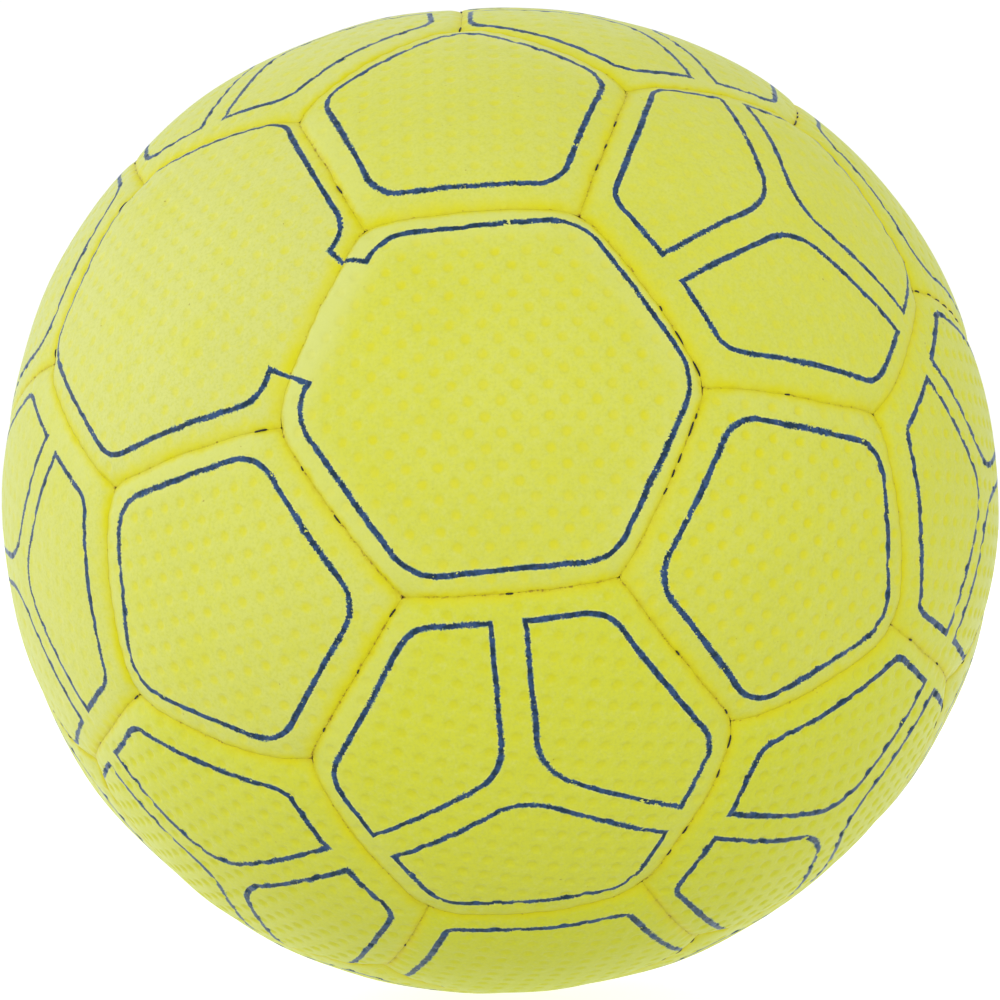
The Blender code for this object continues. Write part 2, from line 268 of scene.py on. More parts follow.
class Panel:
    def __init__(self, centre, corners, ideal, is_hexagon):
        self.centre = centre
        self.u, self.v = axes_at(centre)
        order = sorted(range(len(corners)), key=lambda k: self._bearing(ideal[k]))
        self.corner_ids = [corners[k] for k in order]
        self.ideal = [ideal[k] for k in order]
        self.is_hexagon = is_hexagon
        flat = [self.to_flat(c) for c in self.ideal]
        self.side_angles = []
        for here, after in zip(flat, flat[1:] + flat[:1]):
            middle = here + after
            self.side_angles.append(math.atan2(middle[1], middle[0]))
        self.sides = []

    def _bearing(self, c):
        return math.atan2(float(c @ self.v), float(c @ self.u))

    def to_flat(self, direction):
        """Millimetres over the ball from the panel's middle."""
        x, y = float(direction @ self.u), float(direction @ self.v)
        angle = math.acos(max(-1.0, min(1.0, float(direction @ self.centre))))
        size = math.hypot(x, y) + 1e-12
        return np.array((x, y)) * (BALL * angle / size)

    def directions(self, flat):
        """Unit directions of points given in millimetres over the ball."""
        size = np.hypot(flat[:, 0], flat[:, 1])
        angle = size / BALL
        scale = np.sin(angle) / np.maximum(size, 1e-9)
        return (
            np.outer(np.cos(angle), self.centre)
            + np.outer(flat[:, 0] * scale, self.u)
            + np.outer(flat[:, 1] * scale, self.v)
        )

    def side_distances(self, x):
        found = []
        for seam, sign in self.sides:
            off = BALL * np.arcsin(np.clip(x @ seam.normal, -1, 1))
            t = np.arctan2(x @ seam.along, x @ seam.start) / seam.angle
            found.append((sign * (off - seam.drift(t)), t, seam))
        return found

    def lean(self, x):
        """Whether the panel is the upper (+1) or the lower (-1) one at its nearest seam."""
        near = [(np.exp(-np.maximum(d, 0.0) / 1.5), sign * seam.lean)
                for (d, _, seam), (_, sign) in zip(self.side_distances(x), self.sides)]
        total = sum(weight for weight, _ in near)
        return sum(weight * value for weight, value in near) / np.maximum(total, 1e-12)

    def pit(self, x):
        """How far the cover is drawn in round the panel's corners."""
        total = np.zeros(len(x))
        for corner in self.junctions:
            away = BALL * np.arccos(np.clip(x @ corner, -1, 1))
            total = np.maximum(total, PIT_DEPTH * np.exp(-((away / PIT_REACH) ** 2)))
        return total

    def edge(self, x, softness):
        """Distance to the panel's seam, with the corners rounded."""
        total = sum(np.exp(-d / softness) for d, _, _ in self.side_distances(x))
        return -softness * np.log(total)

    def bearings(self, count):
        """Bearings all the way round, through each corner and closer together there."""
        corners = []
        for (seam, _), (after, _) in zip(self.sides, self.sides[1:] + self.sides[:1]):
            shared = set(seam.number) & set(after.number)
            corner = seam.start if seam.number[0] in shared else seam.end
            corners.append(self._bearing(corner))
        found = []
        per_side = count // len(corners)
        t = np.arange(per_side) / per_side
        t = t - 0.62 * np.sin(2 * math.pi * t) / (2 * math.pi)
        for here, after in zip(corners, corners[1:] + corners[:1]):
            found.append(here + t * ((after - here) % (2 * math.pi)))
        return np.concatenate(found)

    def ring(self, value, phi, softness=CORNER_SOFTNESS):
        """Points at `value` from the seam, one at each bearing."""
        low = np.zeros_like(phi)
        high = np.full_like(phi, 46.0)
        ray = np.stack((np.cos(phi), np.sin(phi)), 1)
        for _ in range(24):
            middle = (low + high) / 2
            inside = self.edge(self.directions(ray * middle[:, None]), softness) > value
            low, high = np.where(inside, middle, low), np.where(inside, high, middle)
        return ray * ((low + high) / 2)[:, None]


def ball_layout():
    """Panels, seams and junctions of the truncated icosahedron."""
    bm = bmesh.new()
    bmesh.ops.create_icosphere(bm, subdivisions=1, radius=1.0)
    turn = Euler([math.radians(a) for a in ORIENTATION_DEG], "XYZ").to_matrix()
    bm.verts.index_update()
    tips = [unit(np.array(turn @ v.co, float)) for v in bm.verts]
    links = {v.index: [e.other_vert(v).index for e in v.link_edges] for v in bm.verts}
    faces = [[v.index for v in f.verts] for f in bm.faces]
    bm.free()

    ideal = {
        (a, b): unit(2.0 * tips[a] + tips[b]) for a in links for b in links[a]
    }
    ordered = sorted(ideal, key=lambda k: (round(ideal[k][1], 3), round(-ideal[k][2], 3)))
    rng = np.random.default_rng(27)
    real = {}
    order_of = {key: number for number, key in enumerate(ordered)}
    for number, key in enumerate(ordered):
        x = ideal[key]
        u, v = axes_at(x)
        loose = np.clip(rng.normal(0.0, 0.45, 2), -0.9, 0.9)
        du, dv = JUNCTION_DRIFT.get(number, loose)
        real[number] = unit(x + (u * du + v * dv) / BALL)
    ideal = {order_of[key]: x for key, x in ideal.items()}

    shapes = []
    for a in links:
        shapes.append((tips[a], [order_of[(a, b)] for b in links[a]], False))
    for a, b, c in faces:
        keys = [(a, b), (b, a), (b, c), (c, b), (c, a), (a, c)]
        shapes.append((unit(tips[a] + tips[b] + tips[c]), [order_of[k] for k in keys], True))
    shapes.sort(key=lambda s: (round(s[0][1], 3), round(-s[0][2], 3)))
    panels = [Panel(c, keys, [ideal[k] for k in keys], hexa) for c, keys, hexa in shapes]

    seams = {}
    neighbours = {}
    for number, panel in enumerate(panels):
        ids = panel.corner_ids
        for here, after in zip(ids, ids[1:] + ids[:1]):
            key = (min(here, after), max(here, after))
            if key not in seams:
                seams[key] = Seam(real[key[0]], real[key[1]], key)
            seam = seams[key]
            sign = 1.0 if seam.normal @ panel.centre > 0 else -1.0
            panel.sides.append((seam, sign))
            neighbours.setdefault(key, []).append(number)
    rng = np.random.default_rng(61)
    for junction in range(len(real)):
        here = [number for number, panel in enumerate(panels) if junction in panel.corner_ids]
        chosen = (here[rng.integers(3)], rng.uniform(0.25, 0.50))
        upper, bend = UPPER_CORNERS.get(junction, chosen)
        for seam, sign in panels[upper].sides:
            if junction in seam.number:
                seam.bends[seam.number.index(junction)] = -sign * bend
    for number, panel in enumerate(panels):
        ids = panel.corner_ids
        panel.junctions = [real[key] for key in ids]
        panel.neighbours = []
        for here, after in zip(ids, ids[1:] + ids[:1]):
            pair = neighbours[(min(here, after), max(here, after))]
            panel.neighbours.append(pair[0] if pair[1] == number else pair[1])
    return panels, [seams[key] for key in sorted(seams)]


PANELS, SEAMS = ball_layout()


# ---------------------------------------------------------------- printed lines
def polygon_distance(p, angles, apothem, radius):
    """Distance to a convex polygon with rounded corners, negative inside."""
    normals = np.stack((np.cos(angles), np.sin(angles)), 1)
    inner = apothem - radius
    inside = (p @ normals.T - inner).max(1)
    count = len(angles)
    corners = [
        np.linalg.solve(np.array((normals[k], normals[(k + 1) % count])), (inner, inner))
        for k in range(count)
    ]
    near = np.full(len(p), 1e9)
    for k in range(count):
        a, b = corners[k - 1], corners[k]
        ab = b - a
        t = np.clip(((p - a) @ ab) / (ab @ ab), 0, 1)
        near = np.minimum(near, np.linalg.norm(p - (a + t[:, None] * ab), axis=1))
    return np.where(inside <= 0, inside, near) - radius


def wedge_distance(p, n1, n2, half, radius):
    """Distance to the corner between two bands, its apex rounded."""
    a = p @ n1 + half + radius
    b = p @ n2 + half + radius
    apex = np.linalg.solve(np.array((n1, n2)), (-(half + radius), -(half + radius)))
    on_a = ((p - a[:, None] * n1) @ n2 + half + radius) <= 1e-9
    on_b = ((p - b[:, None] * n2) @ n1 + half + radius) <= 1e-9
    tip = np.linalg.norm(p - apex, axis=1)
    d = np.where(
        np.maximum(a, b) <= 0,
        np.maximum(a, b),
        np.where((a > 0) & on_a, a, np.where((b > 0) & on_b, b, tip)),
    )
    return d - radius


def print_distances(number, panel, p):
    """Distances to the outline, to the bands across it and to its opening."""
    rng = np.random.default_rng(700 + number)
    loose = rng.normal(0.0, 0.8, 2).clip(-1.5, 1.5)
    nominal = (loose[0], loose[1], rng.normal(0.0, 0.7), 30.0, 6.2)
    if not panel.is_hexagon:
        nominal = (loose[0], loose[1], rng.normal(0.0, 0.7), 22.5, 7.4)
    dx, dy, turn, apothem, radius = OUTLINES.get(number, nominal)
    # the printed sides are straight, with a slight waver from the soft backing
    c, s = math.cos(math.radians(-turn)), math.sin(math.radians(-turn))
    q = (p - (dx, dy)) @ np.array(((c, s), (-s, c)))
    angles = np.array(panel.side_angles)
    outline = polygon_distance(q, angles, apothem, radius)
    bands = np.full(len(p), -50.0)
    bridge = np.full(len(p), 50.0)
    pair = next((pr for pr in PLAIN_PAIRS if number in pr), None)
    if panel.is_hexagon and pair is None:
        half = BAND_HALVES.get(number, BAND_HALF)
        corner = BAND_CORNERS.get(number, BAND_CORNER)
        bands = np.full(len(p), 1e9)
        sides = [k for k in range(6) if PANELS[panel.neighbours[k]].is_hexagon]
        for k in sides:
            d1 = np.array((math.cos(angles[k]), math.sin(angles[k])))
            d2 = np.array((math.cos(angles[(k + 2) % 6]), math.sin(angles[(k + 2) % 6])))
            n1 = np.array((d1[1], -d1[0]))
            n2 = np.array((-d2[1], d2[0]))
            if n1 @ (d1 + d2) > 0:
                n1 = -n1
            if n2 @ (d1 + d2) > 0:
                n2 = -n2
            bands = np.minimum(bands, wedge_distance(q, n1, n2, half, corner))
    if pair is not None:
        other = pair[1] if pair[0] == number else pair[0]
        k = panel.neighbours.index(other)
        way = np.array((math.cos(angles[k]), math.sin(angles[k])))
        across = np.array((-way[1], way[0]))
        lines = BRIDGES.get(number)
        if lines is None:
            lines = [
                (way * 30.0 + across * side * BRIDGE_HALF, way * 35.0 + across * side * BRIDGE_HALF)
                for side in (1, -1)
            ]
        bridge = 14.0 - p @ way
        middles = [np.array(line[0], float) for line in lines]
        for k, (a, b) in enumerate(lines):
            a, b = np.array(a, float), np.array(b, float)
            way_k = (b - a) / np.linalg.norm(b - a)
            n = np.array((-way_k[1], way_k[0]))
            if n @ (middles[1 - k] - a) > 0:
                n = -n
            bridge = np.maximum(bridge, (p - a) @ n)
    return outline, bands, bridge


# ---------------------------------------------------------------- cover panels
rng_shape = np.random.default_rng(88)
UNDULATION = [
    (unit(rng_shape.normal(size=3)) * 2 * math.pi / length, size, rng_shape.uniform(0, 2 * math.pi))
    for length, size in (
        (70, 0.10), (55, 0.09), (42, 0.07), (31, 0.05), (24, 0.045), (18, 0.035),
        (66, 0.09), (50, 0.08), (38, 0.06), (27, 0.05), (21, 0.04), (15, 0.03),
    )
]


def undulation(x):
    total = np.zeros(len(x))
    for wave, size, phase in UNDULATION:
        total += size * np.sin(BALL * (x @ wave) + phase)
    return total


def soft_spots(x):
    """The filled ball isn't a true sphere."""
    total = np.zeros(len(x))
    for degrees, height in SOFT_SPOTS:
        way = np.array((math.cos(math.radians(degrees)), 0.0, math.sin(math.radians(degrees))))
        away = np.degrees(np.arccos(np.clip(x @ way, -1, 1)))
        total += height * np.exp(-((away / SOFT_SPOT_WIDTH) ** 2))
    return total


def crown_radius(panel, x):
    """The outer surface before its dimples."""
    edge = panel.edge(x, CORNER_SOFTNESS)
    soft = np.maximum(panel.edge(x, SHOULDER_SOFTNESS), 0.0)
    crown = CROWN * (1.0 - (1.0 - np.clip(edge / 24.0, 0, 1)) ** 2)
    reach = SHOULDER_REACH * (1.0 - SHOULDER_LEAN * panel.lean(x))
    roll = 1.0 - np.clip(soft / reach, 0, 1)
    shoulder = SHOULDER_DROP * roll**2.3
    lip = 1.0 - np.clip(edge / LIP_REACH, 0, 1)
    shoulder = shoulder + LIP_DROP * lip**1.8
    pillow = PILLOW_DROP * np.exp(-soft / PILLOW_REACH)
    pucker = np.zeros(len(x))
    for d, t, seam in panel.side_distances(x):
        swell = np.cos(2 * math.pi * (STITCHES * t + seam.phase))
        pucker += 0.07 * swell * np.exp(-(((d - 0.9) / 1.3) ** 2)) * (t > 0.03) * (t < 0.97)
    radius = BALL + crown - shoulder - pillow + undulation(x) + soft_spots(x)
    return radius - panel.pit(x) - pucker, edge


def seam_level(seam, x):
    """Height of the bottom of the groove between two panels."""
    level = BALL - SHOULDER_DROP - PILLOW_DROP - LIP_DROP + undulation(x) + soft_spots(x)
    for end in (seam.start, seam.end):
        away = BALL * np.arccos(np.clip(x @ end, -1, 1))
        level = level - PIT_DEPTH * np.exp(-((away / PIT_REACH) ** 2))
    return level


def stain_of(panel, x):
    """How much dirt the nearest seam holds, with more of it near the junctions."""
    nearest = np.full(len(x), 1e9)
    found = np.zeros(len(x))
    for d, t, seam in panel.side_distances(x):
        end = np.minimum(np.clip(t, 0, 1), 1.0 - np.clip(t, 0, 1)) * seam.angle * BALL
        here = 0.75 * seam.line + (0.42 - 0.3 * seam.line) * np.exp(-((end / 1.1) ** 2))
        found = np.where(d < nearest, here, found)
        nearest = np.minimum(nearest, d)
    return found


class Dimples:
    """The square lattice of dimples pressed into one panel's leather."""

    def __init__(self, number, panel):
        rng = np.random.default_rng(5200 + number)
        angle = rng.uniform(0, 90)
        place = rng.uniform(-2, 2, 2)
        if number in DIMPLE_ROWS:
            angle, *place = DIMPLE_ROWS[number]
        angle = math.radians(angle)
        self.origin = np.array(place, float)
        self.e1 = np.array((math.cos(angle), math.sin(angle))) * DIMPLE_PITCH
        self.e2 = np.array((-math.sin(angle), math.cos(angle))) * DIMPLE_PITCH
        reach = 12
        i, j = np.meshgrid(np.arange(-reach, reach + 1), np.arange(-reach, reach + 1), indexing="ij")
        self.reach = reach
        centres = self.origin + i[..., None] * self.e1 + j[..., None] * self.e2
        flat = centres.reshape(-1, 2)
        near = np.hypot(flat[:, 0], flat[:, 1]) < 46
        edge = np.full(len(flat), -9.0)
        edge[near] = panel.edge(panel.directions(flat[near]), CORNER_SOFTNESS)
        if number == 31:
            edge = np.where(np.hypot(flat[:, 0], flat[:, 1]) < 7.2, -9.0, edge)
        strength = smooth_step((edge - 0.9) / 1.7)
        strength *= rng.uniform(0.82, 1.08, len(flat))
        self.strength = strength.reshape(i.shape)
        self.centres = flat[(edge > 0.9)]

    def nearest(self, p):
        """Distance to the nearest dimple's middle, and how deep that one is."""
        q = p - self.origin
        i = np.rint(q @ self.e1 / DIMPLE_PITCH**2).astype(int)
        j = np.rint(q @ self.e2 / DIMPLE_PITCH**2).astype(int)
        away = np.linalg.norm(q - i[:, None] * self.e1 - j[:, None] * self.e2, axis=1)
        ok = (abs(i) <= self.reach) & (abs(j) <= self.reach)
        i, j = np.clip(i, -self.reach, self.reach), np.clip(j, -self.reach, self.reach)
        strength = np.where(ok, self.strength[i + self.reach, j + self.reach], 0.0)
        return away, strength

    def mask(self, p):
        away, strength = self.nearest(p)
        return strength * (1.0 - smooth_step((away / DIMPLE_REACH - 0.38) / 0.62))


def thin_out(points, spacing):
    """Drops points closer together than `spacing`, keeping the earlier ones."""
    cells = {}
    keep = []
    for index, (x, y) in enumerate(points):
        cx, cy = int(math.floor(x / spacing)), int(math.floor(y / spacing))
        clash = False
        for ox in (-1, 0, 1):
            for oy in (-1, 0, 1):
                for other in cells.get((cx + ox, cy + oy), ()):
                    dx, dy = points[other][0] - x, points[other][1] - y
                    if dx * dx + dy * dy < spacing * spacing:
                        clash = True
                        break
                if clash:
                    break
            if clash:
                break
        if not clash:
            cells.setdefault((cx, cy), []).append(index)
            keep.append(index)
    return keep


def surface_points(number, panel, dimples, boundary_count):
    """Boundary loop, then every other point of the outer face, in the plane."""
    boundary = panel.ring(SEAM_GAP, panel.bearings(boundary_count))
    inner = []
    hole = None
    if number == 31:
        turn = np.linspace(0, 2 * math.pi, 64, endpoint=False)
        circle = np.stack((np.cos(turn), np.sin(turn)), 1)
        hole = circle * VALVE_HOLE
        for radius in (4.66, 4.78, 4.98, 5.28, 5.7, 6.2):
            inner.append(circle * radius)
    rows = []
    for value, share in (
        (0.13, 1.0), (0.27, 1.0), (0.45, 1.0), (0.70, 0.9), (1.02, 0.8),
        (1.40, 0.7), (1.85, 0.6), (2.4, 0.5), (3.05, 0.45),
    ):
        count = int(boundary_count * share)
        offset = (len(rows) % 2) * math.pi / count
        rows.append(panel.ring(value, np.linspace(-math.pi, math.pi, count, endpoint=False) + offset))
    for row in rows:
        away, strength = dimples.nearest(row)
        inner.append(row[(away > DIMPLE_REACH + 0.16) | (strength <= 0.02)])
    edge_c = panel.edge(panel.directions(dimples.centres), CORNER_SOFTNESS)
    centres = dimples.centres
    inner.append(centres)
    for step, (radius, count) in enumerate(DIMPLE_RINGS):
        turn = np.linspace(0, 2 * math.pi, count, endpoint=False) + step * 0.3
        circle = np.stack((np.cos(turn), np.sin(turn)), 1) * radius
        inner.append((centres[:, None] + circle).reshape(-1, 2))
    # the level leather between the dimples
    steps = np.arange(-12 * FILL_STEPS, 12 * FILL_STEPS + 1) / FILL_STEPS
    i, j = np.meshgrid(steps, steps, indexing="ij")
    fill = dimples.origin + i.reshape(-1, 1) * dimples.e1 + j.reshape(-1, 1) * dimples.e2
    fill = fill[np.hypot(fill[:, 0], fill[:, 1]) < 42]
    away, strength = dimples.nearest(fill)
    fill = fill[(away > DIMPLE_REACH + 0.25) | (strength <= 0.02)]
    edge = panel.edge(panel.directions(fill), CORNER_SOFTNESS)
    inner.append(fill[edge > 3.3])
    points = np.concatenate(inner)
    edge = panel.edge(panel.directions(points), CORNER_SOFTNESS)
    points = points[edge > SEAM_GAP + 0.07]
    if number == 31:
        points = points[np.hypot(points[:, 0], points[:, 1]) > VALVE_HOLE + 0.03]
    points = points[thin_out(points, 0.19)]
    return boundary, hole, points


def fill_loops(loops, points, hole_radius=None):
    """Triangles inside the first loop and outside the second."""
    verts, edges, start = [], [], 0
    for loop in loops:
        count = len(loop)
        verts += [tuple(p) for p in loop]
        edges += [(start + k, start + (k + 1) % count) for k in range(count)]
        start += count
    verts += [tuple(p) for p in points]
    outer = list(range(len(loops[0])))
    out_verts, _, faces, origin, _, _ = delaunay_2d_cdt(
        [Vector(v) for v in verts], edges, [outer], 1, 1e-6
    )
    flat = np.array([tuple(v) for v in out_verts])
    place = {}
    for index, sources in enumerate(origin):
        for source in sources:
            place[source] = index
    tris = np.array([f for f in faces if len(f) == 3], int)
    if hole_radius is not None:
        middle = flat[tris].mean(1)
        tris = tris[np.hypot(middle[:, 0], middle[:, 1]) > hole_radius * 0.999]
    a, b, c = flat[tris[:, 0]], flat[tris[:, 1]], flat[tris[:, 2]]
    turn = (b - a)[:, 0] * (c - a)[:, 1] - (b - a)[:, 1] * (c - a)[:, 0]
    tris = np.where((turn < 0)[:, None], tris[:, ::-1], tris)
    rings = []
    start = 0
    for loop in loops:
        rings.append([place[start + k] for k in range(len(loop))])
        start += len(loop)
    return flat, tris, rings


def store(mesh, name, values, kind="FLOAT"):
    attribute = mesh.attributes.new(name, kind, "POINT")
    attribute.data.foreach_set("value", np.asarray(values, np.float32))


def make_cover_panel(number, panel, name):
    dimples = Dimples(number, panel)
    size = 372 if panel.is_hexagon else 310
    boundary, hole, points = surface_points(number, panel, dimples, size)
    loops = [boundary] if hole is None else [boundary, hole]
    flat, tris, rings = fill_loops(loops, points, VALVE_HOLE if hole is not None else None)

    x = panel.directions(flat)
    radius, edge = crown_radius(panel, x)
    mask = dimples.mask(flat)
    # the dimples with the fainter painted tint are the shallower ones too
    clarity = DIMPLE_TONES.get(number, 0.76)
    radius = radius - DIMPLE_DEPTH * mask * float(np.clip(clarity / 0.76, 0.5, 1.25))
    # the dimples' painted tint is made fainter low on the ball
    tone = clarity * (1.0 - 0.36 * np.clip((-30.0 - BALL * x[:, 2]) / 42.0, 0, 1))
    if hole is not None:
        away = np.hypot(flat[:, 0], flat[:, 1])
        roll = 1.0 - np.clip((away - VALVE_HOLE) / 1.3, 0, 1)
        radius = radius - 0.55 * (1 - np.sqrt(np.maximum(1 - roll**2, 0)))
    outline, bands, bridge = print_distances(number, panel, flat)
    if hole is not None:
        # the printing stops short of the valve
        bands = np.maximum(bands, -50.0)

    verts = [x * radius[:, None]]
    uv_of = [0.02 + 0.80 * (flat + 41.0) / 82.0]
    faces = tris.tolist()
    face_uv = None
    count = len(flat)
    loop_uv = {}
    sharp_rings = []

    def add_ring(flat_ring, radii):
        nonlocal count
        verts.append(panel.directions(flat_ring) * np.broadcast_to(radii, len(flat_ring))[:, None])
        start = count
        count += len(flat_ring)
        return list(range(start, count))

    walls = []

    def wall(previous, ring, strip_low, strip_high, strip):
        n = len(ring)
        for k in range(n):
            k2 = (k + 1) % n
            walls.append(
                (
                    (previous[k], ring[k], ring[k2], previous[k2]),
                    strip, k / n, (k + 1) / n, strip_low, strip_high,
                )
            )

    ids = rings[0]
    edge_flat = flat[ids]
    edge_radius = radius[ids]
    away = np.hypot(edge_flat[:, 0], edge_flat[:, 1])
    previous = ids
    apothem = 34.0 if panel.is_hexagon else 26.7
    steps = [
        (0.10, edge_radius - 0.12), (0.27, edge_radius - 0.42), (0.30, edge_radius - 1.1),
        (0.30, ALLOWANCE_FOOT + 0.3), (0.55, ALLOWANCE_FOOT), (1.55, ALLOWANCE_FOOT),
        (1.85, ALLOWANCE_FOOT + 0.3), (1.95, PANEL_BACK - 0.6), (2.5, PANEL_BACK),
    ]
    level = 0.0
    for inset, radii in steps:
        ring_flat = edge_flat * (1.0 - inset / apothem)
        ring = add_ring(ring_flat, radii)
        wall(previous, ring, level, level + 1.0 / len(steps), 0)
        level += 1.0 / len(steps)
        previous = ring
    back_ring, back_flat = previous, ring_flat
    hole_back = None
    if hole is not None:
        hole_ids = rings[1]
        previous = hole_ids
        for radii, low in ((radius[hole_ids] - 0.5, 0.0), (PANEL_BACK + 0.6, 0.3), (PANEL_BACK, 0.6)):
            ring = add_ring(flat[hole_ids], radii)
            wall(ring, previous, low, low + 0.3, 1)
            previous = ring
        hole_back = previous

    # the plain inner face
    loops = [back_flat]
    if hole is not None:
        loops.append(flat[rings[1]])
    grid = np.arange(-40, 41, 4.0)
    gx, gy = np.meshgrid(grid, grid)
    inner = np.stack((gx.ravel() + 0.3, gy.ravel() + 0.2), 1)
    inner_edge = panel.edge(panel.directions(inner), CORNER_SOFTNESS)
    inner = inner[(inner_edge > 5.0) & (np.hypot(inner[:, 0], inner[:, 1]) < 40)]
    if hole is not None:
        inner = inner[np.hypot(inner[:, 0], inner[:, 1]) > VALVE_HOLE + 1.5]
    in_flat, in_tris, in_rings = fill_loops(loops, inner, VALVE_HOLE if hole is not None else None)
    remap = {}
    for source, target in zip(in_rings[0], back_ring):
        remap[source] = target
    if hole is not None:
        for source, target in zip(in_rings[1], hole_back):
            remap[source] = target
    fresh = [k for k in range(len(in_flat)) if k not in remap]
    for offset, k in enumerate(fresh):
        remap[k] = count + offset
    verts.append(panel.directions(in_flat[fresh]) * PANEL_BACK)
    count += len(fresh)
    back_faces = [(remap[a], remap[c], remap[b]) for a, b, c in in_tris]

    co = np.concatenate(verts) * MM
    top_count = len(faces)
    all_faces = faces + [w[0] for w in walls] + back_faces
    mesh = bpy.data.meshes.new(name)
    mesh.from_pydata(co.tolist(), [], all_faces)

    # texture space: the outer face, then the edge as a strip, then the back
    uv = []
    for tri in faces:
        uv += [tuple(uv_of[0][v]) for v in tri]
    for quad, strip, a, b, low, high in walls:
        left = 0.86 if strip == 0 else 0.955
        width = 0.08 if strip == 0 else 0.03
        low, high = left + width * low, left + width * high
        y0, y1 = 0.02 + 0.78 * a, 0.02 + 0.78 * b
        if strip == 0:
            uv += [(low, y0), (high, y0), (high, y1), (low, y1)]
        else:
            uv += [(high, y0), (low, y0), (low, y1), (high, y1)]
    for tri in in_tris:
        uv += [tuple(0.02 + 0.14 * (in_flat[k] + 41.0) / 82.0 + (0.0, 0.83)) for k in (tri[0], tri[2], tri[1])]
    layer = mesh.uv_layers.new(name="OFBake")
    layer.data.foreach_set("uv", np.array(uv, np.float32).ravel())

    def spread(values, rest):
        full = np.full(len(co), rest, np.float32)
        full[: len(flat)] = values
        return full

    store(mesh, "outline", spread(outline, 50.0))
    store(mesh, "bands", spread(bands, -50.0))
    store(mesh, "bridge", spread(bridge, 50.0))
    store(mesh, "dimple", spread(mask * tone, 0.0))
    store(mesh, "seam", spread(edge, -1.0))
    store(mesh, "stain", spread(stain_of(panel, x), 0.3))
    store(mesh, "lean", spread(panel.lean(x), 0.0))
    store(mesh, "ink", spread(np.full(len(x), INK_WIDTHS.get(number, 1.0)), 1.0))
    # painted sheen on the listed panels; the others get a random dye tone
    dye_and_sheen = PANEL_DYE_AND_SHEEN.get(number)
    if dye_and_sheen is None:
        dye_and_sheen = float(np.clip(np.random.default_rng(6100 + number).normal(0.0, 0.3), -0.45, 0.35))
    store(mesh, "dye_and_sheen", spread(np.full(len(x), dye_and_sheen), dye_and_sheen))
    smooth = np.ones(len(all_faces), bool)
    mesh.polygons.foreach_set("use_smooth", smooth)
    mesh.update()
    mesh.validate()
    mesh.set_sharp_from_angle(angle=math.radians(62))
    obj = bpy.data.objects.new(name, mesh)
    bpy.context.scene.collection.objects.link(obj)
    return obj


# ---------------------------------------------------------------- seam thread
def tube(path, radius, sides, twist=0.0):
    """Vertices and faces of a round closed tube along a path."""
    tangent = unit(np.gradient(path, axis=0))
    out = unit(path)
    side = unit(np.cross(tangent, out))
    up = np.cross(side, tangent)
    angle = np.linspace(0, 2 * math.pi, sides, endpoint=False)
    n = len(path)
    radius = np.broadcast_to(radius, n)
    ring = (
        np.cos(angle)[None, :, None] * side[:, None]
        + np.sin(angle)[None, :, None] * up[:, None]
    ) * radius[:, None, None]
    verts = (path[:, None] + ring).reshape(-1, 3)
    faces = []
    for k in range(n - 1):
        for s in range(sides):
            s2 = (s + 1) % sides
            a, b = k * sides + s, k * sides + s2
            faces.append((a, a + sides, b + sides, b))
    verts = np.concatenate((verts, path[:1] - tangent[:1] * radius[0] * 0.5, path[-1:] + tangent[-1:] * radius[-1] * 0.5))
    first, last = n * sides, n * sides + 1
    for s in range(sides):
        s2 = (s + 1) % sides
        faces.append((first, s, s2))
        faces.append((last, (n - 1) * sides + s2, (n - 1) * sides + s))
    return verts, faces


def make_thread(name):
    """One strand along each seam, buried but for the stitches that show."""
    all_verts, all_faces, total = [], [], 0
    for seam in SEAMS:
        rng = np.random.default_rng(9300 + 64 * seam.number[0] + seam.number[1])
        slack = rng.uniform(0.0, 0.45)
        places = (np.arange(STITCHES) + 0.5 - seam.phase) / STITCHES
        shown = STITCHES_SHOWN.get(seam.number)
        if shown is None:
            shown = [(p, rng.uniform(0.7, 2.0)) for p in places if rng.uniform() < slack]
        length = BALL * seam.angle
        # more points where a stitch shows, fewer along the buried runs
        t = [np.linspace(0.02, 0.98, STITCHES * 9)]
        for place, size in shown:
            reach = (size * 0.84 + 0.10) * 1.05 / length
            t.append(np.linspace(place - reach, place + reach, 19))
        t = np.unique(np.clip(np.concatenate(t), 0.02, 0.98))
        t = t[np.concatenate(([True], np.diff(t) > 0.0012))]
        lift = THREAD_DEPTH + 0.12 * np.sin(2 * math.pi * (STITCHES * t + seam.phase))
        side = np.zeros_like(t)
        for place, size in shown:
            x = (t - place) * length / (size * 0.84 + 0.10)
            crest = np.sqrt(np.maximum(1.0 - np.abs(x) ** 3.6, 0.0))
            lift = np.maximum(lift, THREAD_DEPTH + (rng.uniform(0.12, 0.20) - THREAD_DEPTH) * crest)
            side += rng.choice((-1.0, 1.0)) * 0.10 * np.clip(x, -1, 1) * (crest > 0)
        level = seam_level(seam, seam.point(t, 1.0)) + lift
        path = seam.point(t, level, side)
        verts, faces = tube(path, THREAD_RADIUS, 7)
        all_verts.append(verts)
        all_faces += [tuple(v + total for v in f) for f in faces]
        total += len(verts)
    mesh = bpy.data.meshes.new(name)
    mesh.from_pydata((np.concatenate(all_verts) * MM).tolist(), [], all_faces)
    mesh.polygons.foreach_set("use_smooth", np.ones(len(all_faces), bool))
    mesh.update()
    obj = bpy.data.objects.new(name, mesh)
    bpy.context.scene.collection.objects.link(obj)
    return obj


